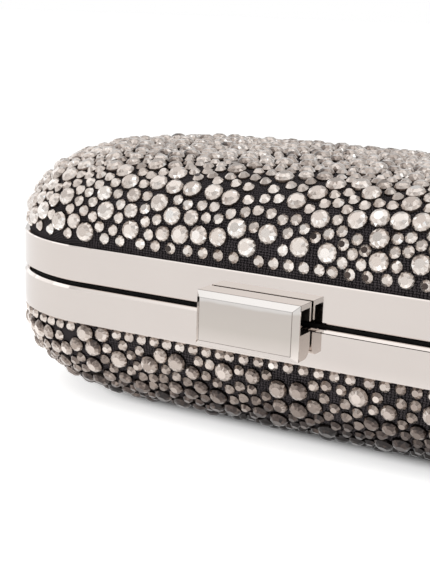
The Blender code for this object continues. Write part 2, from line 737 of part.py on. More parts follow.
def add_hinges():
    """Two hinges on the back of the frame: leaves, pins and rivets."""
    shank = SEAT_GAP + HINGE_PLATE + SEAT_GAP + BAND_THICKNESS * RIVET_DOME_SHARE
    head_seat = BACK_FACE + SEAT_GAP + HINGE_PLATE + SEAT_GAP
    rivet = rivet_mesh("hinge_rivet", shank)
    for hand, middle_x in zip(("left", "right"), hinge_middles()):
        for half, side, own_knuckles in (
            ("lower", -1, range(0, HINGE_KNUCKLES, 2)),
            ("upper", 1, range(1, HINGE_KNUCKLES, 2)),
        ):
            leaf_name = f"hinge_{hand}_{half}_leaf"
            hinge_leaf(leaf_name, middle_x, side, own_knuckles)
            for number, x in enumerate(leaf_rivet_places(middle_x), start=1):
                place = (x, head_seat, hinge_rivet_height(side))
                add_rivet(f"{leaf_name}_rivet_{number}", rivet, place, facing_front=False)
        add_hinge_pin(f"hinge_{hand}_pin", middle_x)


def add_hinge_pin(name, middle_x):
    length = HINGE_WIDTH + 2 * HINGE_PIN_END
    mesh = cylinder_mesh(name, [(0.0, 0.0, 0.0)], HINGE_PIN_RADIUS, length, "X", HINGE_STEPS)
    pin = add_part(name, mesh, steel(name))
    pin.location = (middle_x, HINGE_AXIS_Y, HINGE_AXIS_Z)
    ends = pin.modifiers.new("ends", "BEVEL")
    ends.width = HINGE_PIN_EDGE
    ends.segments = 1
    ends.limit_method = "ANGLE"
    shade(pin, 40.0)


add_halves()
add_frame()
add_lever()
add_clasp_base()
add_clasp_pin()
add_clasp_spring()
add_clasp_catch()
add_hinges()
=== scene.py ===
import math

import bmesh
import bpy
import numpy as np
from mathutils import Matrix, Vector
from mathutils.bvhtree import BVHTree


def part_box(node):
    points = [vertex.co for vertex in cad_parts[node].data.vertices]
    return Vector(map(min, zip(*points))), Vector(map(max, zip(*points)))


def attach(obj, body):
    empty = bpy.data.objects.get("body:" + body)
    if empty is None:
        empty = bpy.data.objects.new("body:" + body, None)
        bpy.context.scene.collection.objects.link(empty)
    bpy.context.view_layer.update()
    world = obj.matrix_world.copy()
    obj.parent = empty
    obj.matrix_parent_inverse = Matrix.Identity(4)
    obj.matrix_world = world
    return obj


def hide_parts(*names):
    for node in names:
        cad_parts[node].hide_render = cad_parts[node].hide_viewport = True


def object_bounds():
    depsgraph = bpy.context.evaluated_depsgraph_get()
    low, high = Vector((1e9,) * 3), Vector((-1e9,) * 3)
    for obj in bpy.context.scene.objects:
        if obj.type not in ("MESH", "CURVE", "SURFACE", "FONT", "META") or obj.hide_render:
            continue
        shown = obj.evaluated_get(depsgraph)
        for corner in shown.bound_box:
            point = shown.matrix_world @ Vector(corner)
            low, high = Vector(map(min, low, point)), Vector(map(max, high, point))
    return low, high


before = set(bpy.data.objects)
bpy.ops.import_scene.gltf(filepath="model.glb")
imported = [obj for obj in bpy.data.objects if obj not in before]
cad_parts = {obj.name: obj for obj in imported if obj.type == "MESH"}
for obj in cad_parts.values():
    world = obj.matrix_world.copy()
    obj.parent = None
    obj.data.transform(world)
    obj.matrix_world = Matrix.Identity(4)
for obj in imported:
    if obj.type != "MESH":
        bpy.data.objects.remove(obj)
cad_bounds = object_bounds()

# The table, the light and the camera
# The bag lies on a wide sheet of matt white paper between white walls, with a large softbox overhead and
# one on each side. The camera stands to the right of the clasp and looks a little down on the frame.


class Shade:
    """What one node's socket gives. Arithmetic on it adds the Math nodes."""

    def __init__(self, nodes, socket):
        self.nodes = nodes
        self.socket = socket

    def maths(self, operation, first, second):
        return self.nodes.node("ShaderNodeMath", {"operation": operation}, {0: first, 1: second})

    def __add__(self, other):
        return self.maths("ADD", self, other)

    def __radd__(self, other):
        return self.maths("ADD", other, self)

    def __sub__(self, other):
        return self.maths("SUBTRACT", self, other)

    def __rsub__(self, other):
        return self.maths("SUBTRACT", other, self)

    def __mul__(self, other):
        return self.maths("MULTIPLY", self, other)

    def __rmul__(self, other):
        return self.maths("MULTIPLY", other, self)

    def __gt__(self, other):
        return self.maths("GREATER_THAN", self, other)

    def __abs__(self):
        return self.maths("ABSOLUTE", self, 0.0)

    def sine(self):
        return self.maths("SINE", self, 0.0)

    def at_most(self, other):
        return self.maths("MINIMUM", self, other)

    def at_least(self, other):
        return self.maths("MAXIMUM", self, other)


class Nodes:
    """A tree of shader nodes and the ways in which nodes are added to it."""

    def __init__(self, tree):
        self.tree = tree

    def plug(self, socket, value):
        if isinstance(value, Shade):
            self.tree.links.new(value.socket, socket)
        else:
            socket.default_value = value

    def node(self, kind, settings, sockets, output=0):
        """Any node: its type, its settings, then the values or links of its sockets."""
        made = self.tree.nodes.new(kind)
        for name, value in settings.items():
            if name == "stops":
                ramp = made.color_ramp.elements
                while len(ramp) < len(value):
                    ramp.new(1.0)
                for stop, (place, colour) in zip(ramp, value):
                    stop.position = place
                    stop.color = (*colour, 1.0)
            else:
                setattr(made, name, value)
        for name, value in sockets.items():
            self.plug(made.inputs[name], value)
        return Shade(self, made.outputs[output])

    def part(self, axis, vector):
        """How far a vector goes along the axis X, Y or Z."""
        return self.node("ShaderNodeSeparateXYZ", {}, {0: vector}, output=axis)

    def colours(self, value, stops):
        """A colour read from stops along a value from 0 to 1."""
        return self.node("ShaderNodeValToRGB", {"stops": stops}, {"Fac": value})


class Finish(Nodes):
    """The surface of one kind of piece: a Principled shader and the nodes that vary it."""

    def __init__(self, name, **constants):
        self.material = bpy.data.materials.new(name)
        self.material.use_nodes = True
        super().__init__(self.material.node_tree)
        self.shader = self.tree.nodes["Principled BSDF"]
        self.give(**constants)

    def give(self, **values):
        """Sets or links the shader's sockets, with underscores for the spaces in their names."""
        for name, value in values.items():
            self.plug(self.shader.inputs[name.replace("_", " ")], value)

    def place(self):
        return self.node("ShaderNodeTexCoord", {}, {}, output="Object")

    def noise(self, grain, detail=2.0, vector=None):
        """Soft noise between 0 and 1 whose lumps are about one grain across."""
        vector = vector or self.place()
        sockets = {"Vector": vector, "Scale": 1.0 / grain, "Detail": detail}
        return self.node("ShaderNodeTexNoise", {}, sockets)

    def fade(self, value, start, end, at_start, at_end):
        """A smooth change from one level to another while a value goes from start to end."""
        return self.node(
            "ShaderNodeMapRange",
            {"interpolation_type": "SMOOTHSTEP"},
            {"Value": value, "From Min": start, "From Max": end, "To Min": at_start, "To Max": at_end},
        )

    def relief(self, height, depth):
        """A bump of a real depth in metres."""
        bump = self.node("ShaderNodeBump", {}, {"Height": height, "Distance": depth, "Strength": 1.0})
        self.give(Normal=bump)


def studio_paper():
    """Matt white paper with painted light: it glows near the bag and far off, and the glow is left out
    where the bag lies on it, which paints its contact shadow.

    The painted shadow has the form of the bag: a middle part of full width between two round ends."""
    round_ends_from = 0.0365
    paper = Finish("studio_paper", Roughness=0.9, Specular_IOR_Level=0.1)
    cloud = paper.noise(grain=0.4)
    warm, cool = (0.855, 0.85, 0.845), (0.865, 0.862, 0.86)
    paper.give(Base_Color=paper.colours(cloud, ((0.3, warm), (0.7, cool))))
    endwards = (abs(paper.part("X", paper.place())) - round_ends_from).at_least(0.0)
    across = paper.part("Y", paper.place())
    away = paper.node("ShaderNodeCombineXYZ", {}, {"X": endwards, "Y": across})
    from_bag = paper.node("ShaderNodeVectorMath", {"operation": "LENGTH"}, {0: away}, output="Value")
    # Painted contact shadow: no glow where the bag lies on the paper.
    outside_painted_shadow = paper.fade(from_bag, start=0.0275, end=0.037, at_start=0.0, at_end=1.0)
    nearby = paper.fade(from_bag, start=0.088, end=0.128, at_start=0.63, at_end=0.14)
    far_off = paper.fade(from_bag, start=0.3, end=2.5, at_start=0.0, at_end=0.17)
    # Painted glow in the paper's emission, though the paper is no lamp.
    painted_glow = nearby * outside_painted_shadow + far_off
    white = paper.node("ShaderNodeCombineColor", {}, {"Red": painted_glow, "Green": painted_glow, "Blue": painted_glow})
    paper.give(Emission_Color=white, Emission_Strength=1.0)
    return paper.material


def add_object(name, mesh, *finishes):
    made = bpy.data.objects.new(name, mesh)
    for finish in finishes:
        mesh.materials.append(finish)
    bpy.context.scene.collection.objects.link(made)
    return made


def mesh_of(name, bm):
    """Ends the work on a bmesh and gives the mesh made of it."""
    mesh = bpy.data.meshes.new(name)
    bm.to_mesh(mesh)
    bm.free()
    return mesh


def lay_paper():
    reach = 30.0
    bm = bmesh.new()
    bmesh.ops.create_circle(bm, cap_ends=True, segments=96, radius=reach)
    add_object("paper", mesh_of("paper", bm), studio_paper())


def hang_softbox(name, place, aim, width, depth, radiance):
    """A softbox whose face gives the stated radiance."""
    light = bpy.data.lights.new(name, "AREA")
    light.shape = "RECTANGLE"
    light.size = width
    light.size_y = depth
    light.energy = radiance * math.pi * width * depth
    lamp = bpy.data.objects.new(name, light)
    lamp.location = place
    lamp.rotation_euler = (Vector(aim) - Vector(place)).to_track_quat("-Z", "Y").to_euler()
    bpy.context.scene.collection.objects.link(lamp)


def light_studio():
    """Softboxes, and walls whose grey goes by the sine of the height above the table, darker behind."""
    low_walls = ((0.0, 0.96), (0.03, 0.96), (0.15, 1.5), (0.3, 1.55), (0.42, 0.78))
    low_back_walls = ((0.0, 1.0), (0.03, 1.0), (0.1, 0.81), (0.34, 0.81), (0.5, 0.6))
    ceiling = ((0.75, 0.6), (0.85, 1.15))
    world = bpy.data.worlds.new("studio")
    bpy.context.scene.world = world
    world.use_nodes = True
    studio = Nodes(world.node_tree)
    way = studio.node("ShaderNodeTexCoord", {}, {}, output="Generated")
    height = studio.part("Z", way)
    behind = studio.node(
        "ShaderNodeMapRange", {}, {"Value": studio.part("Y", way), "From Min": 0.5, "From Max": 0.78},
    )
    front, back = (
        studio.colours(height, [(level, (grey, grey, grey)) for level, grey in walls + ceiling])
        for walls in (low_walls, low_back_walls)
    )
    all_round = studio.node(
        "ShaderNodeMix", {"data_type": "RGBA"}, {0: behind, 6: front, 7: back}, output=2,
    )
    studio.plug(studio.tree.nodes["Background"].inputs["Color"], all_round)

    hang_softbox(
        "softbox_overhead",
        place=(-0.4, -0.15, 1.15), aim=(-0.4, -0.149, 0.0), width=2.4, depth=1.6, radiance=0.36,
    )
    hang_softbox(
        "softbox_right",
        place=(1.1, -0.3, 0.75), aim=(0.0, 0.0, 0.04), width=0.7, depth=0.7, radiance=0.9,
    )
    hang_softbox(
        "softbox_left",
        place=(-1.25, 0.15, 0.86), aim=(-0.07, -0.04, 0.03), width=0.9, depth=0.7, radiance=0.7,
    )


def stand_camera():
    """Places the camera so that the clasp's right side, at the frame's mid height, falls on its pixel."""
    photo_width = 430
    photo_height = 580
    focal_pixels = 1201.2
    clasp_pixel = (311.63, 325.96)
    distance = 0.2586
    azimuth, pitch, roll = (math.radians(angle) for angle in (29.86, 12.97, 1.95))
    band_low, band_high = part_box("lower_band")
    gap_middle = (band_high.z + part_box("upper_band")[0].z) / 2
    mark = Vector((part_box("clasp_lever")[1].x, band_low.y, gap_middle))

    sight = Vector((
        -math.sin(azimuth) * math.cos(pitch),
        math.cos(azimuth) * math.cos(pitch),
        -math.sin(pitch),
    ))
    level = Vector((math.cos(azimuth), math.sin(azimuth), 0.0))
    upright = level.cross(sight)
    right = math.cos(roll) * level + math.sin(roll) * upright
    up = math.cos(roll) * upright - math.sin(roll) * level
    off_right = (clasp_pixel[0] - photo_width / 2) / focal_pixels * distance
    off_up = (photo_height / 2 - clasp_pixel[1]) / focal_pixels * distance

    lens = bpy.data.cameras.new("camera")
    lens.sensor_fit = "HORIZONTAL"
    lens.lens = lens.sensor_width * focal_pixels / photo_width
    lens.clip_start = 0.01
    camera = bpy.data.objects.new("camera", lens)
    place = mark - distance * sight - off_right * right - off_up * up
    camera.matrix_world = Matrix.Translation(place) @ Matrix((right, up, -sight)).transposed().to_4x4()
    bpy.context.scene.collection.objects.link(camera)
    bpy.context.scene.camera = camera
    bpy.context.scene.view_settings.view_transform = "Standard"


lay_paper()
light_studio()
stand_camera()


# The moulded boards
# Each half is stiffened by a tray of pressed grey-brown millboard that gives the bag its pillow shape.
# The cloth is glued over its outside and the lining inside, so only its raw edge is ever seen.


def millboard():
    board = Finish("millboard", Roughness=0.85, Specular_IOR_Level=0.2)
    fibres = board.noise(grain=0.0006, detail=6.0)
    dark, pale = (0.09, 0.075, 0.062), (0.17, 0.145, 0.12)
    board.give(Base_Color=board.colours(fibres, ((0.3, dark), (0.7, pale))))
    board.relief(fibres, depth=0.00005)
    return board.material


def dress(finish, *names):
    """Gives CAD pieces that stay as they are their finish."""
    for name in names:
        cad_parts[name].material_slots[0].material = finish


dress(millboard(), "lower_shell", "upper_shell")


# The cloth covers
# Black woven cloth is glued over the crowned boards and turned in behind the bands. It is flat on the
# crown, rolls over a soft shoulder and drops straight to the frame. Both halves have the same form.

half_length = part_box("upper_band")[1].x
half_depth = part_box("upper_band")[1].y
upper_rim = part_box("upper_cover")[0].z
lower_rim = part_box("lower_cover")[1].z
crown_height = lower_rim
rim_height = 0.0004
frame_corner = 0.035
cloth_inset = 0.00135
cloth_tuck = 0.0012
cloth_thickness = 0.00015


def outline(inset, travel, corner_steps):
    """The frame's rounded rectangle, moved in by a wall's inset and the crown's travel.

    Gives its points and the outward way at each."""
    round_end_share = 0.96
    half_x = half_length - inset - travel
    half_y = half_depth - inset - travel
    radius = min(frame_corner - inset, round_end_share * half_y)
    points, ways = [], []
    for quarter, (side_x, side_y) in enumerate(((1, 1), (-1, 1), (-1, -1), (1, -1))):
        for step in range(corner_steps + 1):
            angle = math.pi / 2 * (quarter + step / corner_steps)
            way = (math.cos(angle), math.sin(angle))
            x = side_x * (half_x - radius) + radius * way[0]
            y = side_y * (half_y - radius) + radius * way[1]
            points.append((x, y))
            ways.append(way)
    return np.array(points), np.array(ways)


def fill(rows, name, values):
    """Writes one value, or one row of values, to each item of a mesh's layer."""
    rows.foreach_set(name, np.asarray(values, np.float32).ravel())


class Crown:
    """One layer of a half: rings of points from the frame over the shoulder to the middle of the crown.

    The shoulder's roll and the last ring are shares of the half depth, and two powers curve the shoulder."""

    def __init__(self, inset, skirt, shoulder_steps=28, flat_steps=6, corner_steps=26):
        roll_share = 0.7
        last_share = 0.985
        curve_out, curve_up = 3.7, 2.09
        depth = half_depth - inset
        height = crown_height - inset
        levels = [(0.0, -skirt), (0.0, 0.0), (0.0, rim_height)]
        for step in range(1, shoulder_steps + 1):
            across = (step / shoulder_steps) ** 2
            up = (1 - (1 - across) ** curve_out) ** (1 / curve_up)
            levels.append((across * roll_share * depth, rim_height + (height - rim_height) * up))
        self.flat_from = len(levels) - 1
        for step in range(1, flat_steps + 1):
            share = roll_share + (last_share - roll_share) * step / flat_steps
            levels.append((share * depth, height))
        self.levels = np.array(levels)
        rings = []
        for travel, z in levels:
            points, self.ways = outline(inset, travel, corner_steps)
            rings.append(np.column_stack((points, np.full(len(points), z))))
        self.rings = np.array(rings)

    def quads(self):
        rows, count = self.rings.shape[:2]
        faces = []
        for row in range(rows - 1):
            for here in range(count):
                after = (here + 1) % count
                faces.append((row * count + here, row * count + after,
                              (row + 1) * count + after, (row + 1) * count + here))
        return faces

    def unrolled(self):
        """Each point's place on the cloth laid flat: unchanged on the crown, then out along the curve."""
        steps = np.linalg.norm(np.diff(self.levels, axis=0), axis=1)
        along = np.concatenate(((0.0,), np.cumsum(steps)))
        flat = self.rings[:, :, :2].copy()
        edge = self.rings[self.flat_from, :, :2]
        for row in range(self.flat_from):
            flat[row] = edge + self.ways * (along[self.flat_from] - along[row])
        return flat

    def mesh(self, name):
        count = self.rings.shape[1]
        faces = self.quads()
        faces.append(tuple(range(len(self.rings) * count - count, len(self.rings) * count)))
        mesh = bpy.data.meshes.new(name)
        mesh.from_pydata(self.rings.reshape(-1, 3).tolist(), [], faces)
        flat = self.unrolled().reshape(-1, 2)
        corners = np.zeros(len(mesh.loops), np.int32)
        mesh.loops.foreach_get("vertex_index", corners)
        fill(mesh.uv_layers.new(name="flat_cloth").uv, "vector", flat[corners])
        mesh.shade_smooth()
        return mesh


def on_half(piece, half):
    """Puts a piece made with its rim at z = 0 on its half of the bag, turned over for the lower one."""
    piece.location.z = upper_rim if half == "upper" else lower_rim
    piece.rotation_euler.x = 0.0 if half == "upper" else math.pi
    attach(piece, half + "_half")
    return piece


def add_wall(piece, thickness):
    wall = piece.modifiers.new("wall", "SOLIDIFY")
    wall.thickness = thickness
    wall.offset = -1.0


def woven_cloth():
    """Plain weave: warp and weft take turns on top, square by square."""
    thread = 0.0006
    cloth = Finish("black_woven_cloth", Roughness=0.85, Specular_IOR_Level=0.06)
    flat = cloth.node("ShaderNodeUVMap", {"uv_map": "flat_cloth"}, {})
    threads = cloth.node(
        "ShaderNodeVectorMath", {"operation": "SCALE"}, {0: flat, "Scale": math.pi / thread},
    )
    slub = cloth.noise(grain=0.0011, detail=3.0) * 3.0
    across = (cloth.part("X", threads) + slub).sine()
    along = (cloth.part("Y", threads) + slub).sine()
    warp_on_top = across * along > 0.0
    weave = abs(across) * warp_on_top + abs(along) * (1.0 - warp_on_top)
    fuzz = cloth.noise(grain=0.0003, detail=4.0)
    worn = cloth.noise(grain=0.012)
    black, thread_top, fuzz_tip = (0.002, 0.0017, 0.002), (0.0065, 0.0054, 0.006), (0.06, 0.052, 0.055)
    tone = weave * 0.45 + fuzz * 0.45 + worn * 0.2
    cloth.give(Base_Color=cloth.colours(tone, ((0.3, black), (0.55, thread_top), (0.78, fuzz_tip))))
    cloth.relief(weave * 0.7 + fuzz * 0.3, depth=0.00012)
    return cloth.material


cloth_crown = Crown(cloth_inset, cloth_tuck)
cloth_finish = woven_cloth()
for half in ("lower", "upper"):
    cover = add_object(half + "_cloth", cloth_crown.mesh(half + "_cloth"), cloth_finish)
    add_wall(cover, cloth_thickness)
    on_half(cover, half)
    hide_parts(half + "_cover")


# The crystals
# Flat-backed glass stones in three sizes, each with a flat table, one or two rings of facets and a foiled
# back, are glued to the cloth one by one: a row along each band, then as close as they happen to fall.

stone_sizes = {
    "small": {"radius": 0.00141, "height": 0.00115, "sides": 10, "part": 0.73},
    "medium": {"radius": 0.00195, "height": 0.00150, "sides": 12, "part": 0.18},
    "large": {"radius": 0.00235, "height": 0.00175, "sides": 12, "part": 0.09},
}
settings = {
    "lower": {"seed": 11, "row_height": 0.0009, "row_gap": 0.0006, "area_per_stone": 12.2e-6},
    "upper": {"seed": 29, "row_height": 0.0023, "row_gap": 0.00065, "area_per_stone": 13.5e-6},
}
# Painted light and shade in the stones of each half: the way of the painted dark crescent, its share, the
# painted glow's share and the painted sparkle. The shares go by size, from small to large.
painted_lustres = {
    "lower": {
        "painted_shade_way": (0.5, 0.3, -0.8),
        "painted_crescent_shares": (0.13, 0.2, 0.24),
        "painted_glow_shares": (0.08, 0.08, 0.08),
        "painted_sparkle": 0.13,
    },
    "upper": {
        "painted_shade_way": (-0.42, -0.5, 0.76),
        "painted_crescent_shares": (0.3, 0.4, 0.45),
        "painted_glow_shares": (0.1, 0.13, 0.15),
        "painted_sparkle": 0.25,
    },
}


def proud_stones(half):
    """Places of larger stones, from the tables that stand proud of the CAD cover's plain crown."""
    least_rise = 0.0003
    table_reach = 0.0034
    plain = Crown(inset=0.0, skirt=0.0, shoulder_steps=7, flat_steps=1, corner_steps=8)
    surface = BVHTree.FromPolygons(plain.rings.reshape(-1, 3).tolist(), plain.quads())
    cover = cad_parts[half + "_cover"]
    turned_over = 1 if half == "upper" else -1
    rim = upper_rim if half == "upper" else lower_rim
    tables = []
    for vertex in cover.data.vertices:
        corner = cover.matrix_world @ vertex.co
        corner = Vector((corner.x, turned_over * corner.y, turned_over * (corner.z - rim)))
        nearest, facing, _, _ = surface.find_nearest(corner)
        if nearest is None or (corner - nearest).dot(facing) < least_rise:
            continue
        for table in tables:
            if (table[0] - corner).length < table_reach:
                table.append(corner)
                break
        else:
            tables.append([corner])
    return [sum(table, Vector()) / len(table) for table in tables]


class Setting:
    """The stones of one half: places on the cloth, and sizes."""

    def __init__(self, half, crown, seed, row_height, row_gap, area_per_stone):
        self.draw = np.random.RandomState(seed)
        self.crown = crown
        self.quads = crown.quads()
        self.points = crown.rings.reshape(-1, 3)
        self.surface = BVHTree.FromPolygons(self.points.tolist(), self.quads)
        self.names = list(stone_sizes)
        self.row_height = row_height
        self.row_gap = row_gap
        self.area_per_stone = area_per_stone
        proud = [np.array(self.surface.find_nearest(place)[0]) for place in proud_stones(half)]
        self.places, self.kinds = self.first_row(np.array(proud))
        self.places += proud
        self.kinds += [self.names.index("large")] * len(proud)
        self.pinned = len(self.places)
        self.scatter()
        self.settle()

    def level_ring(self, height):
        """The cloth's outline at a height above the rim."""
        heights = self.crown.levels[:self.crown.flat_from, 1]
        above = int(np.searchsorted(heights, height))
        share = (height - heights[above - 1]) / (heights[above] - heights[above - 1])
        return self.crown.rings[above - 1] * (1 - share) + self.crown.rings[above] * share

    def first_row(self, proud):
        """Mostly small stones, evenly along the band wherever the larger stones above leave them room.

        Each run of them starts and ends with a small one."""
        row_parts = (0.88, 0.09, 0.03)
        small = stone_sizes["small"]["radius"]
        trial_step = small / 12
        radii = [stone_sizes[name]["radius"] for name in self.names]
        ring = self.level_ring(self.row_height)
        steps = np.linalg.norm(np.roll(ring, -1, axis=0) - ring, axis=1)
        along = np.concatenate(((0.0,), np.cumsum(steps)))
        closed = np.vstack((ring, ring[:1]))

        def on_row(at):
            return np.column_stack([np.interp(at, along, closed[:, axis]) for axis in range(3)])

        trials = np.arange(0.0, along[-1] - 2 * small, trial_step)
        apart = np.linalg.norm(on_row(trials)[:, None] - proud[None], axis=2).min(axis=1)
        free = apart > small + stone_sizes["large"]["radius"] + self.row_gap / 2
        changes = np.flatnonzero(np.diff(np.concatenate(((False,), free, (False,)))))
        places, kinds = [], []
        for first, last in zip(changes[::2], changes[1::2]):
            start, room = trials[first], trials[last - 1] - trials[first]
            run = [0]
            while sum(2 * radii[kind] for kind in run) + len(run) * self.row_gap <= room:
                run.append(int(self.draw.choice(len(row_parts), p=row_parts)))
            run[-1] = 0
            taken = sum(2 * radii[kind] for kind in run) - 2 * small
            spare = (room - taken) / max(len(run) - 1, 1)
            at = start - small
            for kind in run:
                at += radii[kind]
                place = on_row(np.array([at]))[0]
                place[2] += radii[kind] - small
                places.append(place)
                kinds.append(kind)
                at += radii[kind] + spare
        return places, kinds

    def scatter(self):
        """Random places all over the cloth above the first row, as many as the area takes."""
        above_row = 0.002
        corners = self.points[np.array(self.quads)]
        diagonals = corners[:, 2] - corners[:, 0], corners[:, 3] - corners[:, 1]
        areas = np.linalg.norm(np.cross(*diagonals), axis=1) / 2
        areas[corners[:, :, 2].mean(axis=1) < self.row_height + above_row] = 0.0
        count = int(areas.sum() / self.area_per_stone)
        chosen = corners[self.draw.choice(len(areas), count, p=areas / areas.sum())]
        u, v = self.draw.uniform(size=(2, count, 1))
        low = chosen[:, 0] * (1 - u) + chosen[:, 1] * u
        high = chosen[:, 3] * (1 - u) + chosen[:, 2] * u
        parts = [stone_sizes[name]["part"] for name in self.names]
        self.places = np.vstack((self.places, low * (1 - v) + high * v))
        self.kinds = np.concatenate((self.kinds, self.draw.choice(len(parts), count, p=parts)))

    def settle(self):
        """Pushes stones that lie on each other apart, along the cloth, until they lie side by side."""
        rounds = 110
        rounds_between_looks = 6
        reach = 0.0065
        widest_gap = 0.0008
        least_gap = 0.00025
        closing_speed = 1.25
        push_share = 0.42
        above_row = 0.0018
        size_spread = 0.015
        hair = 1e-9
        radii = np.array([stone_sizes[name]["radius"] for name in self.names])[self.kinds]
        free = np.arange(len(self.places)) >= self.pinned
        lowest = self.row_height + above_row
        for turn in range(rounds):
            if turn % rounds_between_looks == 0:
                apart = np.linalg.norm(self.places[:, None] - self.places[None], axis=2)
                first, second = np.nonzero(np.triu(apart < reach, 1))
            way = self.places[second] - self.places[first]
            distance = np.linalg.norm(way, axis=1) + hair
            gap = widest_gap + (least_gap - widest_gap) * min(1.0, closing_speed * turn / rounds)
            overlap = np.maximum(radii[first] + radii[second] + gap - distance, 0.0)
            push = way * (push_share * overlap / distance)[:, None]
            move = np.zeros_like(self.places)
            np.add.at(move, first, -push)
            np.add.at(move, second, push)
            self.places[free] += move[free]
            self.places[free, 2] = np.maximum(self.places[free, 2], lowest)
            for stone in np.nonzero(free)[0]:
                self.places[stone] = self.surface.find_nearest(self.places[stone])[0]
        self.radii = radii * self.draw.normal(1.0, size_spread, len(radii))
        self.normals = np.array([self.surface.find_nearest(place)[1] for place in self.places])


def cut_stone(sides, stepped):
    """A stone of unit radius and height: its points, its faces from base to table, and each face's cut.

    A small stone has one ring of facets between girdle and table, a larger one two."""
    rings = [(1.0, 0.0, 0.0), (0.98, 0.36, 0.0), (0.52, 1.0, 0.0)]
    if stepped:
        rings[2:] = [(0.8, 0.74, 0.5), (0.46, 1.0, 0.0)]
    points = []
    for radius, height, turn in rings:
        for corner in range(sides):
            angle = 2 * math.pi * (corner + turn) / sides
            points.append((radius * math.cos(angle), radius * math.sin(angle), height))
    faces, cuts = [tuple(reversed(range(sides)))], ["base"]
    for ring, (_, _, turn) in enumerate(rings[1:]):
        turned = turn != rings[ring][2]
        for corner in range(sides):
            after = (corner + 1) % sides
            low, next_low = ring * sides + corner, ring * sides + after
            high, next_high = low + sides, next_low + sides
            if not turned:
                faces.append((low, next_low, next_high, high))
            elif turn > 0.0:
                faces += [(low, next_low, high), (next_low, next_high, high)]
            else:
                faces += [(low, next_low, next_high), (low, next_high, high)]
            cuts += ["girdle" if ring == 0 else "crown"] * (len(faces) - len(cuts))
    faces.append(tuple(range((len(rings) - 1) * sides, len(rings) * sides)))
    cuts.append("table")
    return np.array(points), faces, cuts


def facet_tones(setting, half, kind, chosen, faces, cuts, points, first, second):
    """How light each facet looks, in painted light and shade: a painted glow one way, a painted dark
    crescent the other, as the foil would throw it.
    """
    usual_tone = 0.7
    stone_spread = 0.035
    facet_spread = 0.05
    way_spread = 0.25
    painted_girdle_shade, painted_girdle_crescent = 0.14, 0.18
    painted_sparkle_shares = (0.015, 0.04, 0.06)
    painted_eye_tones = (0.05, 0.25)
    base_tone = 0.3
    darkest, lightest = 0.02, 1.0
    hair = 1e-6
    draw = setting.draw
    painted_lustre = painted_lustres[half]
    count = len(chosen)
    middles = np.array([points[list(face)].mean(axis=0) for face in faces])
    slope = np.hypot(middles[:, 0], middles[:, 1])
    facing = middles[:, :2] / np.maximum(slope, hair)[:, None]
    ways = facing[None, :, 0, None] * first[:, None] + facing[None, :, 1, None] * second[:, None]
    painted_shade_side = ways @ np.array(painted_lustre["painted_shade_way"]) + draw.normal(0.0, way_spread, (count, 1))
    tones = draw.normal(usual_tone, stone_spread, (count, 1))
    tones = tones + draw.normal(0.0, facet_spread, (count, len(faces)))
    # Painted shade: a dark crescent on one side of each stone; painted light: a glow on the other.
    tones -= painted_lustre["painted_crescent_shares"][kind] * slope[None] * np.maximum(painted_shade_side, 0.0) ** 2
    tones += painted_lustre["painted_glow_shares"][kind] * slope[None] * np.maximum(-painted_shade_side, 0.0)
    # Painted shade round each stone's girdle, deeper on the side of the painted crescent.
    girdle = np.array(cuts) == "girdle"
    tones[:, girdle] -= painted_girdle_shade + painted_girdle_crescent * np.maximum(painted_shade_side[:, girdle], 0.0)
    # Painted highlights: some facets made lighter at random, as sparkles.
    painted_sparkle = draw.uniform(size=tones.shape) < painted_sparkle_shares[kind]
    tones[painted_sparkle] += painted_lustre["painted_sparkle"]
    # Painted shade by the way each stone faces and where it sits.
    tones -= painted_shade_of(setting, half, chosen)
    # Painted dark reflection in the tables of some stones.
    with_painted_eye = draw.uniform(size=count) < painted_eye_shares(setting, half, kind, chosen)
    tones[with_painted_eye, cuts.index("table")] = draw.uniform(*painted_eye_tones, int(with_painted_eye.sum()))
    tones[:, cuts.index("base")] = base_tone
    return tones.clip(darkest, lightest)


def painted_shade_of(setting, half, chosen):
    """How much painted shade darkens a stone: a little on top of the upper crown, and more the lower it
    faces.

    The lower half has painted shade all over, more towards its right end, and underneath less so towards its
    left end."""
    on_top = 0.12
    everywhere, at_right_end = 0.08, 0.13
    facing_down, straight_down = 0.3, 0.4
    spared_at_left = 0.6
    outward = np.maximum(setting.normals[chosen, 2:3], 0.0)
    if half == "upper":
        return on_top * outward ** 2
    aside = np.clip(setting.places[chosen, :1] / half_length, -1.0, 1.0)
    to_right, to_left = np.maximum(aside, 0.0), np.maximum(-aside, 0.0)
    underneath = facing_down * outward + straight_down * outward ** 2
    return everywhere + at_right_end * to_right + underneath * (1 - spared_at_left * to_left)


def painted_eye_shares(setting, half, kind, chosen):
    """How likely a stone has a painted dark reflection, an eye, in its table: often right of the clasp, low
    on the upper half.
    """
    eyes_from, eyes_up_to = 0.01, 0.009
    often, seldom = (0.42, 0.25, 0.0), (0.01, 0.0, 0.0)
    places = setting.places[chosen]
    near_clasp = (places[:, 2] < eyes_up_to) & (places[:, 0] > eyes_from) & (half == "upper")
    return np.where(near_clasp, often[kind], seldom[kind])


def chart_of_tones(points, faces, tones):
    """A map on which facets of one tone lie over each other: tone across, the share of height upwards."""
    levels = 64
    cell_share = 0.35
    lift_share = 0.9
    spread = 0.03
    cells = np.minimum((tones * levels).astype(int), levels - 1)
    across, upward = [], []
    for number, face in enumerate(faces):
        for step, corner in enumerate(face):
            angle = 2 * math.pi * (step + 0.5) / len(face)
            across.append((cells[:, number] + 0.5 + cell_share * math.cos(angle)) / levels)
            rise = points[corner, 2]
            lift = 2 * spread * (1 - rise) + lift_share * rise + spread * math.sin(angle)
            upward.append(np.full(len(tones), lift))
    return np.stack((np.array(across).T, np.array(upward).T), axis=2)


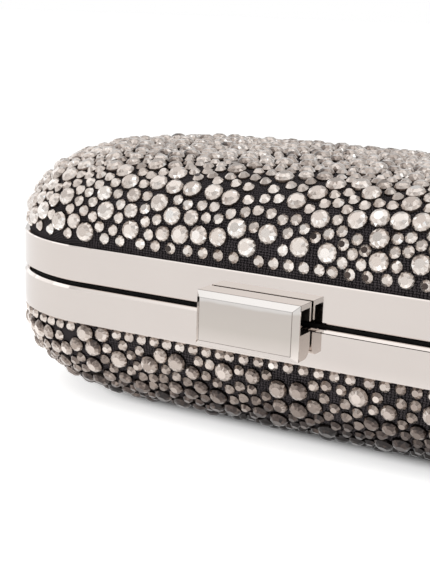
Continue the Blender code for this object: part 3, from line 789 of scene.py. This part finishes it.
def stones_mesh(name, setting, half, kind, floor_height):
    """All stones of one size of a half in one mesh, with each facet's tone and each point's rise.

    Those that the bag lies on are made low enough to clear the table."""
    size = stone_sizes[name]
    tilt_spread = 0.035
    any_way = (0.31, 0.17, 0.93)
    least_drop = 0.02
    room_share = 0.88
    points, faces, cuts = cut_stone(size["sides"], stepped=kind > 0)
    chosen = np.nonzero(setting.kinds == kind)[0]
    draw = setting.draw
    normals = setting.normals[chosen] + draw.normal(0.0, tilt_spread, (len(chosen), 3))
    normals /= np.linalg.norm(normals, axis=1)[:, None]
    sideways = np.cross(normals, any_way)
    sideways /= np.linalg.norm(sideways, axis=1)[:, None]
    upward = np.cross(normals, sideways)
    turns = draw.uniform(-math.pi, math.pi, len(chosen))
    first = sideways * np.cos(turns)[:, None] + upward * np.sin(turns)[:, None]
    second = np.cross(normals, first)
    places = setting.places[chosen]
    radii = setting.radii[chosen]
    room = (floor_height - places[:, 2]) / np.maximum(normals[:, 2], least_drop)
    heights = np.minimum(size["height"] * radii / size["radius"], room_share * room)
    shaped = (points[None, :, 0, None] * (radii[:, None] * first)[:, None]
              + points[None, :, 1, None] * (radii[:, None] * second)[:, None]
              + points[None, :, 2, None] * (heights[:, None] * normals)[:, None])
    shaped += places[:, None]
    starts = np.arange(len(chosen)) * len(points)
    all_faces = [tuple(int(start) + corner for corner in face) for start in starts for face in faces]
    mesh = bpy.data.meshes.new(name)
    mesh.from_pydata(shaped.reshape(-1, 3).tolist(), [], all_faces)
    tones = facet_tones(setting, half, kind, chosen, faces, cuts, points, first, second)
    fill(mesh.attributes.new("facet_tone", "FLOAT", "FACE").data, "value", tones)
    fill(mesh.attributes.new("rise", "FLOAT", "POINT").data, "value", np.tile(points[:, 2], len(chosen)))
    fill(mesh.uv_layers.new(name="OFBake").uv, "vector", chart_of_tones(points, faces, tones))
    return mesh


def champagne_crystal():
    """Smoke-tinted glass over silver foil, with painted light and shade: each facet's painted tone, darker
    towards the stone's foot, reads brown in painted shadow, champagne in painted light and white as painted
    sparkles.
    """
    crystal = Finish(
        "champagne_crystal",
        Metallic=0.9, Roughness=0.26, Coat_Weight=0.4, Coat_Roughness=0.04, Coat_IOR=1.5,
    )
    tone = crystal.node("ShaderNodeAttribute", {"attribute_name": "facet_tone"}, {}, output="Fac")
    rise = crystal.node("ShaderNodeAttribute", {"attribute_name": "rise"}, {}, output="Fac")
    # Painted shade towards each stone's foot, by the share of its height.
    painted_light = tone * (rise * 1.6 + 0.55).at_most(1.0)
    crystal.give(Base_Color=crystal.colours(painted_light, (
        (0.0, (0.01, 0.008, 0.008)),
        (0.22, (0.07, 0.05, 0.042)),
        (0.45, (0.27, 0.22, 0.19)),
        (0.62, (0.55, 0.485, 0.44)),
        (0.78, (0.68, 0.63, 0.59)),
        (0.9, (0.86, 0.83, 0.8)),
        (1.0, (1.0, 1.0, 1.0)),
    )))
    return crystal.material


crystal_finish = champagne_crystal()
floor_heights = {"lower": lower_rim - cad_bounds[0].z, "upper": math.inf}
for half, way_of_setting in settings.items():
    setting = Setting(half, cloth_crown, **way_of_setting)
    for kind, name in enumerate(stone_sizes):
        mesh = stones_mesh(name, setting, half, kind, floor_heights[half])
        stones = add_object(f"{half}_{name}_crystals", mesh, crystal_finish)
        on_half(stones, half)


# The frame
# Two bands of brass strip are bent round the bag, soldered at the back, plated with nickel and polished.
# Their edges at the gap are chamfered, with a fine line at the chamfer's foot that carries a painted dark
# reflection right of the clasp on the lower band. A blackened strip inside the lower band keeps the closed
# halves in line.

crisp_angle = math.radians(20)


def nickel_plate():
    plate = Finish("polished_nickel", Metallic=1.0)
    smudge = plate.noise(grain=0.02, detail=4.0)
    hairlines = plate.noise(grain=0.0008, detail=5.0)
    plate.give(Roughness=smudge * 0.05 + hairlines * 0.02 + 0.02)
    darker, lighter = (0.63, 0.577, 0.545), (0.65, 0.597, 0.563)
    plate.give(Base_Color=plate.colours(smudge, ((0.3, darker), (0.7, lighter))))
    return plate.material


def blackened_strip():
    strip = Finish("blackened_strip", Roughness=0.6, Specular_IOR_Level=0.1)
    rubbed = strip.noise(grain=0.003, detail=5.0)
    black, bare = (0.002, 0.002, 0.002), (0.012, 0.011, 0.01)
    strip.give(Base_Color=strip.colours(rubbed, ((0.35, black), (0.8, bare))))
    return strip.material


def chamfer_foot_painted_reflection():
    """The fine line at the chamfer's foot, with a painted dark reflection right of the clasp that fades
    towards the back.
    """
    line = Finish("band_edge_painted_reflection", Metallic=1.0, Roughness=0.15)
    across = line.part("X", line.place())
    behind = line.part("Y", line.place()) + half_depth
    darker_rightwards, lighter_backwards = 50.0, 60.0
    # Painted dark reflection: darker to the right and lighter towards the back.
    place = across * darker_rightwards - behind * lighter_backwards
    painted_dark_share = place + line.noise(grain=0.004) * 0.3 + 0.3
    polished, dark = (0.64, 0.587, 0.553), (0.05, 0.043, 0.038)
    line.give(Base_Color=line.colours(painted_dark_share, ((0.3, polished), (0.8, dark))))
    return line.material


def swept_strip(name, profile, *finishes):
    """A closed strip: a profile of (inset, height) points carried round the frame, its edges crisp.

    A second finish goes on the first step of the profile."""
    corner_steps = 36
    bm = bmesh.new()
    rows = []
    for inset, height in profile:
        points, _ = outline(inset, 0.0, corner_steps)
        rows.append([bm.verts.new((x, y, height)) for x, y in points])
    for step, (row, next_row) in enumerate(zip(rows, rows[1:] + rows[:1])):
        for here in range(len(row)):
            after = (here + 1) % len(row)
            face = bm.faces.new((row[here], row[after], next_row[after], next_row[here]))
            face.material_index = 1 if step == 0 and len(finishes) > 1 else 0
    bmesh.ops.recalc_face_normals(bm, faces=bm.faces)
    mesh = mesh_of(name, bm)
    mesh.shade_smooth()
    mesh.set_sharp_from_angle(angle=crisp_angle)
    return add_object(name, mesh, *finishes)


def band_profile(gap_edge, cover_edge):
    """The band's section: a chamfer at the gap, the line at its foot and a fine chamfer at the cover."""
    thickness = 0.0012
    chamfer = 0.00065
    line_width = 0.00018
    fine_edge = 0.00025
    way = 1 if cover_edge > gap_edge else -1
    return [
        (0.0, gap_edge + way * chamfer),
        (0.0, gap_edge + way * (chamfer + line_width)),
        (0.0, cover_edge - way * fine_edge),
        (fine_edge, cover_edge),
        (thickness, cover_edge),
        (thickness, gap_edge),
        (chamfer, gap_edge),
    ]


nickel = nickel_plate()
for half, gap_end, cover_end in (("lower", 1, 0), ("upper", 0, 1)):
    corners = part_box(half + "_band")
    profile = band_profile(corners[gap_end].z, corners[cover_end].z)
    finishes = (nickel, chamfer_foot_painted_reflection()) if half == "lower" else (nickel,)
    band = swept_strip(half + "_band_polished", profile, *finishes)
    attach(band, half + "_half")
    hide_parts(half + "_band")

lip_low, lip_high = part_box("locating_lip")
lip_inset = half_length - lip_high.x
lip_thickness = 0.0008
lip_lead = 0.00032
lip_profile = [
    (lip_inset, lip_low.z),
    (lip_inset + lip_thickness, lip_low.z),
    (lip_inset + lip_thickness, lip_high.z),
    (lip_inset + lip_lead, lip_high.z),
    (lip_inset, lip_high.z - lip_lead),
]
lip = swept_strip("lip_strip", lip_profile, blackened_strip())
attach(lip, "lower_half")
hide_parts("locating_lip")


# The linings
# Black satin, glued over thin card, lines both halves. Past the crown it goes on as a straight skirt
# inside the band, with its cut edge turned over the card.

lining_thickness = 0.0006


def black_satin():
    satin = Finish(
        "black_satin",
        Roughness=0.42, Specular_IOR_Level=0.5, Sheen_Weight=0.4, Sheen_Roughness=0.35,
    )
    flat = satin.node("ShaderNodeUVMap", {"uv_map": "flat_cloth"}, {})
    threads = satin.node("ShaderNodeMapping", {}, {"Vector": flat, "Scale": (400.0, 6000.0, 1.0)})
    yarn = satin.noise(grain=1.0, detail=3.0, vector=threads)
    ease = satin.noise(grain=0.02)
    tone = yarn * 0.6 + ease * 0.4
    dark, pale = (0.006, 0.006, 0.008), (0.02, 0.02, 0.024)
    satin.give(Base_Color=satin.colours(tone, ((0.3, dark), (0.7, pale))))
    satin.relief(yarn * 0.3 + ease * 0.7, depth=0.0004)
    return satin.material


satin_finish = black_satin()
lining_inset = half_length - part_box("upper_lining")[1].x
skirts = {
    "lower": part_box("lower_lining")[1].z - lower_rim,
    "upper": upper_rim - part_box("upper_lining")[0].z,
}
for half, skirt in skirts.items():
    mesh = Crown(lining_inset, skirt).mesh(half + "_lining")
    lining = add_object(half + "_satin_lining", mesh, satin_finish)
    add_wall(lining, lining_thickness)
    on_half(lining, half)
    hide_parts(half + "_lining")


# The hinges, the pins and the rivets
# Two small butt hinges of steel, each with five knuckles round a headless pin, are riveted to the back of
# the bands. The clasp's bracket, pin, spring and rivets are of the same steel. Its catch is plated.


def plain_steel():
    steel = Finish("plain_steel", Metallic=1.0)
    rubbed = steel.noise(grain=0.005, detail=4.0)
    darker, lighter = (0.56, 0.535, 0.51), (0.6, 0.575, 0.55)
    steel.give(Base_Color=steel.colours(rubbed, ((0.3, darker), (0.7, lighter))))
    steel.give(Roughness=rubbed * 0.08 + 0.18)
    return steel.material


steel_finish = plain_steel()
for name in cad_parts:
    if name.startswith("hinge_") or name.startswith("clasp_"):
        dress(steel_finish, name)
dress(nickel, "clasp_catch")


# The lever
# A small hollow box, cast in brass, is polished and plated like the bands. Its front edges are chamfered,
# its roof turns down behind into a lip, and two cheeks with round heels carry the pin. Its inside is painted
# dark for shade, its plate carries painted shade and highlight, and its edges a painted dark reflection.

lever_low, lever_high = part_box("clasp_lever")
lever_chamfer = 0.00135
lever_plate = 0.0015
lever_roof = 0.0012
lever_lip = 0.0008
lever_lip_drop = 0.0007
lever_cheek = 0.0019
cheek_height = 0.0059
heel_radius = 0.0025
edge_width = 0.00008
lip_end_width = 0.0031
lip_end_height = 0.0082
overrun = 0.004


def lever_nickel_painted_light():
    """The bands' plate, with painted shade darker up the lever's front and a painted highlight on its roof.
    """
    plate = Finish("lever_nickel_painted_light", Metallic=1.0)
    height_share = (plate.part("Z", plate.place()) - lever_low.z) * (1.0 / (lever_high.z - lever_low.z))
    smudge = plate.noise(grain=0.01, detail=4.0)
    plate.give(Roughness=smudge * 0.06 + 0.03)
    # Painted shade up the front and a painted highlight on the roof, by height.
    plate.give(Base_Color=plate.colours(height_share + smudge * 0.1, (
        (0.1, (0.66, 0.607, 0.57)),
        (0.45, (0.535, 0.493, 0.455)),
        (0.86, (0.515, 0.473, 0.44)),
        (0.9, (0.61, 0.585, 0.565)),
    )))
    return plate.material


def edge_painted_reflection():
    """The thin line where two polished faces meet, painted a little dark as a painted dark reflection."""
    line = Finish("lever_edge_painted_reflection", Metallic=1.0, Roughness=0.3)
    worn = line.noise(grain=0.004)
    darker, lighter = (0.13, 0.11, 0.1), (0.22, 0.19, 0.17)
    line.give(Base_Color=line.colours(worn, ((0.3, darker), (0.7, lighter))))
    return line.material


def inside_painted_shade():
    # Painted shade: the lever's inside is made near black to stand for the shade in it.
    cast = Finish("inside_painted_shade", Metallic=0.8, Roughness=0.45)
    sand = cast.noise(grain=0.001, detail=5.0)
    darker, lighter = (0.02, 0.017, 0.015), (0.045, 0.038, 0.033)
    cast.give(Base_Color=cast.colours(sand, ((0.3, darker), (0.7, lighter))))
    return cast.material


def add_box(bm, low, high):
    """A box between two corners."""
    low, high = Vector(low), Vector(high)
    placed = Matrix.Translation((low + high) / 2) @ Matrix.Diagonal((*(high - low), 1.0))
    bmesh.ops.create_cube(bm, size=1.0, matrix=placed)


def near(value, target):
    """Whether two places are within one and a half widths of the painted dark edge line."""
    return abs(value - target) < edge_width * 1.5


def take_off(bm, edges, width, steps=1):
    """Takes edges off, as one flat or a round of several steps, and gives the faces that this leaves."""
    cut = bmesh.ops.bevel(bm, geom=edges, offset=width, segments=steps, profile=0.5, affect="EDGES")
    return cut["faces"]


def lever_outside():
    """The lever's outer form with chamfers and heel, and a fine line of painted dark reflection where the
    polished faces meet.
    """
    front, back = lever_low.y, lever_high.y
    base, top = lever_low.z, lever_high.z
    heel_steps = 10
    bm = bmesh.new()
    add_box(bm, lever_low, lever_high)
    at_front = [edge for edge in bm.edges if all(near(vert.co.y, front) for vert in edge.verts)]
    take_off(bm, at_front, lever_chamfer)
    at_back = [edge for edge in bm.edges if all(near(vert.co.y, back) for vert in edge.verts)]
    heel = [edge for edge in at_back if all(near(vert.co.z, base) for vert in edge.verts)]
    take_off(bm, heel, heel_radius, heel_steps)
    sharp = [edge for edge in bm.edges if edge.calc_face_angle() > crisp_angle]
    for face in take_off(bm, sharp, edge_width):
        centre = face.calc_center_median()
        on_roof = near(centre.z, top) and near(centre.y, front + lever_chamfer)
        on_side = near(abs(centre.x), lever_high.x - lever_chamfer) and near(centre.y, front)
        on_foot = near(centre.z, base + lever_chamfer) and near(centre.y, front)
        # The fine faces along the front edges take the painted dark reflection.
        face.material_index = 1 if on_roof or on_side or on_foot else 0
    return mesh_of("lever_outside", bm)


def lever_hollows():
    """What is milled out: between the cheeks, the windows in the sides, and under the roof and its lip."""
    inside = lever_high.x - lever_cheek
    side = lever_high.x + overrun
    lip_ends = lever_high.x - lip_end_width
    plate_back = lever_low.y + lever_plate
    lip_front = lever_high.y - lever_lip
    behind = lever_high.y + overrun
    below = lever_low.z - overrun
    cheek_top = lever_low.z + cheek_height
    roof_under = lever_high.z - lever_roof
    lip_under = roof_under - lever_lip_drop
    lip_end_under = lever_low.z + lip_end_height
    return (
        ((-inside, plate_back, below), (inside, behind, lip_under)),
        ((-side, plate_back, cheek_top), (side, behind, lip_end_under)),
        ((-lip_ends, plate_back, cheek_top), (lip_ends, behind, lip_under)),
        ((-side, plate_back, cheek_top), (side, lip_front, roof_under)),
    )


def hollowed(name, outside, hollows, finishes):
    """Cuts boxes out of a body and gives what they leave the last finish."""
    body = add_object(name, outside, *finishes)
    cutters = []
    for low, high in hollows:
        bm = bmesh.new()
        add_box(bm, low, high)
        cutter = add_object("hollow", mesh_of("hollow", bm), finishes[-1])
        cutters.append(cutter)
        cut = body.modifiers.new("hollow", "BOOLEAN")
        cut.operation = "DIFFERENCE"
        cut.solver = "EXACT"
        cut.material_mode = "TRANSFER"
        cut.object = cutter
    bpy.context.view_layer.update()
    evaluated = body.evaluated_get(bpy.context.evaluated_depsgraph_get())
    body.data = bpy.data.meshes.new_from_object(evaluated)
    body.modifiers.clear()
    for cutter in cutters:
        bpy.data.objects.remove(cutter, do_unlink=True)
    return body


lever_finishes = (lever_nickel_painted_light(), edge_painted_reflection(), inside_painted_shade())
lever = hollowed("lever", lever_outside(), lever_hollows(), lever_finishes)
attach(lever, "clasp")
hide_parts("clasp_lever")
